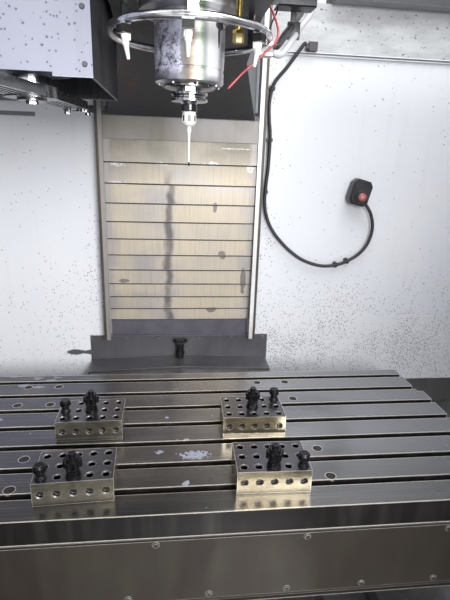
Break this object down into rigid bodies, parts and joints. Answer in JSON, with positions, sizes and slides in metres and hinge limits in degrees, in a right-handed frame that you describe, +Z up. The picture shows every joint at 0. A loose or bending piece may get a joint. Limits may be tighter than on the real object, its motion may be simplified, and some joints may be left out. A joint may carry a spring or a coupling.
{
  "type": "cnc machining center",
  "caption": "Vertical machining centre with T-slotted table, travelling head, telescoping way covers, arm tool changer and sliding doors",
  "frame": {"origin": "On the floor under the middle of the outline", "axes": "X runs to the operator's right, Y away from the operator, Z up"},
  "size_m": [2.612, 2.9195, 2.545],
  "materials": {
    "wall_white": null,
    "skin_white": null,
    "casting_grey": null,
    "table_iron": null,
    "head_dark": null,
    "cover_steel": null,
    "apron_steel": null,
    "ground_steel": null,
    "dark_steel": null,
    "motor_black": null,
    "black_plastic": null,
    "grey_hose": null,
    "black_rubber": null,
    "red_plastic": null,
    "probe_white": null
  },
  "bodies": {
    "machine": {"base_casting": "casting_grey", "levelling_pads": "dark_steel", "column": "casting_grey", "guideways": "ground_steel", "servo_motors": "motor_black", "rear_walls": "wall_white", "rear_apron": "apron_steel", "flush_nozzle": "black_plastic", "z_cover_frame": "cover_steel", "chip_pan": "cover_steel", "enclosure_panels": "skin_white", "enclosure_front": "skin_white", "electrical_cabinet": "skin_white", "tool_changer_cover": "wall_white", "arm_gearbox": "casting_grey", "probe_receiver": "black_plastic", "receiver_cable": "black_rubber"},
    "saddle": {"saddle": "casting_grey", "saddle_covers": "cover_steel"},
    "table": {"table": "table_iron", "x_axis_drive": "ground_steel", "front_apron": "apron_steel", "setup_blocks": "dark_steel", "block_fasteners": "black_plastic", "table_caps": "black_plastic"},
    "head": {"spindle_head": "casting_grey", "head_cover": "head_dark", "spindle_housing": "ground_steel", "coolant_ring": "dark_steel", "head_hoses": "grey_hose", "air_line": "red_plastic", "spindle_motor": "motor_black"},
    "spindle": {"spindle_nose": "dark_steel", "probe_holder": "ground_steel", "touch_probe": "probe_white"},
    "x_ballscrew": {"x_ballscrew": "ground_steel"},
    "y_ballscrew": {"y_ballscrew": "ground_steel"},
    "z_ballscrew": {"z_ballscrew": "ground_steel"},
    "y_cover_rear": {"y_cover_rear": "cover_steel"},
    "y_cover_front_1": {"y_cover_front_1": "cover_steel"},
    "y_cover_front_2": {"y_cover_front_2": "cover_steel"},
    "door_left": {"door_left": "skin_white"},
    "door_right": {"door_right": "skin_white"},
    "pendant": {"control_pendant": "skin_white"},
    "stop_button": {"stop_button": "red_plastic"},
    "jog_wheel": {"jog_wheel": "black_plastic"},
    "arm_shaft": {"arm_shaft": "ground_steel"},
    "swing_arm": {"swing_arm": "dark_steel"},
    "tool_magazine": {"tool_magazine": "dark_steel"},
    "z_panel_01": {"z_panel_01": "cover_steel"},
    "z_panel_02": {"z_panel_02": "cover_steel"},
    "z_panel_03": {"z_panel_03": "cover_steel"},
    "z_panel_04": {"z_panel_04": "cover_steel"},
    "z_panel_05": {"z_panel_05": "cover_steel"},
    "z_panel_06": {"z_panel_06": "cover_steel"},
    "z_panel_07": {"z_panel_07": "cover_steel"},
    "z_panel_08": {"z_panel_08": "cover_steel"},
    "z_panel_09": {"z_panel_09": "cover_steel"},
    "z_panel_10": {"z_panel_10": "cover_steel"},
    "z_panel_11": {"z_panel_11": "cover_steel"}
  },
  "joints": [
    {"name": "saddle_y", "type": "slide", "parent": "machine", "child": "saddle", "axis": [0, 1, 0], "range_m": [-0.39, 0.12]},
    {"name": "table_x", "type": "slide", "parent": "saddle", "child": "table", "axis": [1, 0, 0], "range_m": [-0.5, 0.5]},
    {"name": "head_z", "type": "slide", "parent": "machine", "child": "head", "axis": [0, 0, 1], "range_m": [-0.49, 0]},
    {"name": "spindle_turn", "type": "hinge", "parent": "head", "child": "spindle", "pos_m": [0, -0.48, 1.657], "axis": [0, 0, 1], "continuous": true},
    {"name": "x_screw_turn", "type": "hinge", "parent": "table", "child": "x_ballscrew", "pos_m": [0, -0.344, 0.782], "axis": [1, 0, 0], "continuous": true},
    {"name": "y_screw_turn", "type": "hinge", "parent": "machine", "child": "y_ballscrew", "pos_m": [0, -0.3, 0.595], "axis": [0, 1, 0], "continuous": true},
    {"name": "z_screw_turn", "type": "hinge", "parent": "machine", "child": "z_ballscrew", "pos_m": [0, 0.255, 1.5], "axis": [0, 0, 1], "continuous": true},
    {"name": "rear_cover_slide", "type": "slide", "parent": "machine", "child": "y_cover_rear", "axis": [0, 1, 0], "range_m": [-0.2, 0.065]},
    {"name": "front_cover_1_slide", "type": "slide", "parent": "machine", "child": "y_cover_front_1", "axis": [0, 1, 0], "range_m": [-0.265, 0.085]},
    {"name": "front_cover_2_slide", "type": "slide", "parent": "machine", "child": "y_cover_front_2", "axis": [0, 1, 0], "range_m": [-0.135, 0.045]},
    {"name": "door_left_slide", "type": "slide", "parent": "machine", "child": "door_left", "axis": [1, 0, 0], "range_m": [0, 0.594]},
    {"name": "door_right_slide", "type": "slide", "parent": "machine", "child": "door_right", "axis": [-1, 0, 0], "range_m": [0, 0.594]},
    {"name": "pendant_swivel", "type": "hinge", "parent": "machine", "child": "pendant", "pos_m": [1.19, -1.319, 2.03], "axis": [0, 0, 1], "range_deg": [0, 45]},
    {"name": "stop_button_press", "type": "slide", "parent": "pendant", "child": "stop_button", "axis": [0, 1, 0], "range_m": [0, 0.006], "stiffness_N_per_m": 800},
    {"name": "jog_wheel_turn", "type": "hinge", "parent": "pendant", "child": "jog_wheel", "pos_m": [0.95, -1.44, 1.255], "axis": [0, -1, 0], "continuous": true},
    {"name": "arm_drop", "type": "slide", "parent": "machine", "child": "arm_shaft", "axis": [0, 0, 1], "range_m": [-0.11, 0]},
    {"name": "arm_swing", "type": "hinge", "parent": "arm_shaft", "child": "swing_arm", "pos_m": [-0.265, -0.48, 1.64], "axis": [0, 0, -1], "range_deg": [0, 80]},
    {"name": "magazine_turn", "type": "hinge", "parent": "machine", "child": "tool_magazine", "pos_m": [-0.69, -0.48, 2.06], "axis": [1, 0, 0], "continuous": true},
    {"name": "z_panel_01_slide", "type": "slide", "parent": "machine", "child": "z_panel_01", "axis": [0, 0, 1], "range_m": [-0.0489, 0.001]},
    {"name": "z_panel_02_slide", "type": "slide", "parent": "machine", "child": "z_panel_02", "axis": [0, 0, 1], "range_m": [-0.0768, 0.001]},
    {"name": "z_panel_03_slide", "type": "slide", "parent": "machine", "child": "z_panel_03", "axis": [0, 0, 1], "range_m": [-0.1071, 0.001]},
    {"name": "z_panel_04_slide", "type": "slide", "parent": "machine", "child": "z_panel_04", "axis": [0, 0, 1], "range_m": [-0.14, 0.001]},
    {"name": "z_panel_05_slide", "type": "slide", "parent": "machine", "child": "z_panel_05", "axis": [0, 0, 1], "range_m": [-0.1753, 0.001]},
    {"name": "z_panel_06_slide", "type": "slide", "parent": "machine", "child": "z_panel_06", "axis": [0, 0, 1], "range_m": [-0.2131, 0.001]},
    {"name": "z_panel_07_slide", "type": "slide", "parent": "machine", "child": "z_panel_07", "axis": [0, 0, 1], "range_m": [-0.2534, 0.001]},
    {"name": "z_panel_08_slide", "type": "slide", "parent": "machine", "child": "z_panel_08", "axis": [0, 0, 1], "range_m": [-0.2961, 0.001]},
    {"name": "z_panel_09_slide", "type": "slide", "parent": "machine", "child": "z_panel_09", "axis": [0, 0, 1], "range_m": [-0.3414, 0.001]},
    {"name": "z_panel_10_slide", "type": "slide", "parent": "machine", "child": "z_panel_10", "axis": [0, 0, 1], "range_m": [-0.3891, 0.001]},
    {"name": "z_panel_11_slide", "type": "slide", "parent": "machine", "child": "z_panel_11", "axis": [0, 0, 1], "range_m": [-0.4393, 0.001]}
  ],
  "couplings": [
    {"joint": "x_screw_turn", "follows": "table_x", "rad_per_m": 392.7},
    {"joint": "y_screw_turn", "follows": "saddle_y", "rad_per_m": 392.7},
    {"joint": "z_screw_turn", "follows": "head_z", "rad_per_m": 392.7},
    {"joint": "rear_cover_slide", "follows": "saddle_y", "ratio": 0.5},
    {"joint": "front_cover_1_slide", "follows": "saddle_y", "ratio": 0.66667},
    {"joint": "front_cover_2_slide", "follows": "saddle_y", "ratio": 0.33333},
    {"joint": "z_panel_01_slide", "follows": "head_z", "ratio": 0.09568},
    {"joint": "z_panel_02_slide", "follows": "head_z", "ratio": 0.15259},
    {"joint": "z_panel_03_slide", "follows": "head_z", "ratio": 0.21455},
    {"joint": "z_panel_04_slide", "follows": "head_z", "ratio": 0.28158},
    {"joint": "z_panel_05_slide", "follows": "head_z", "ratio": 0.35367},
    {"joint": "z_panel_06_slide", "follows": "head_z", "ratio": 0.43082},
    {"joint": "z_panel_07_slide", "follows": "head_z", "ratio": 0.51303},
    {"joint": "z_panel_08_slide", "follows": "head_z", "ratio": 0.6003},
    {"joint": "z_panel_09_slide", "follows": "head_z", "ratio": 0.69263},
    {"joint": "z_panel_10_slide", "follows": "head_z", "ratio": 0.79003},
    {"joint": "z_panel_11_slide", "follows": "head_z", "ratio": 0.89248}
  ]
}
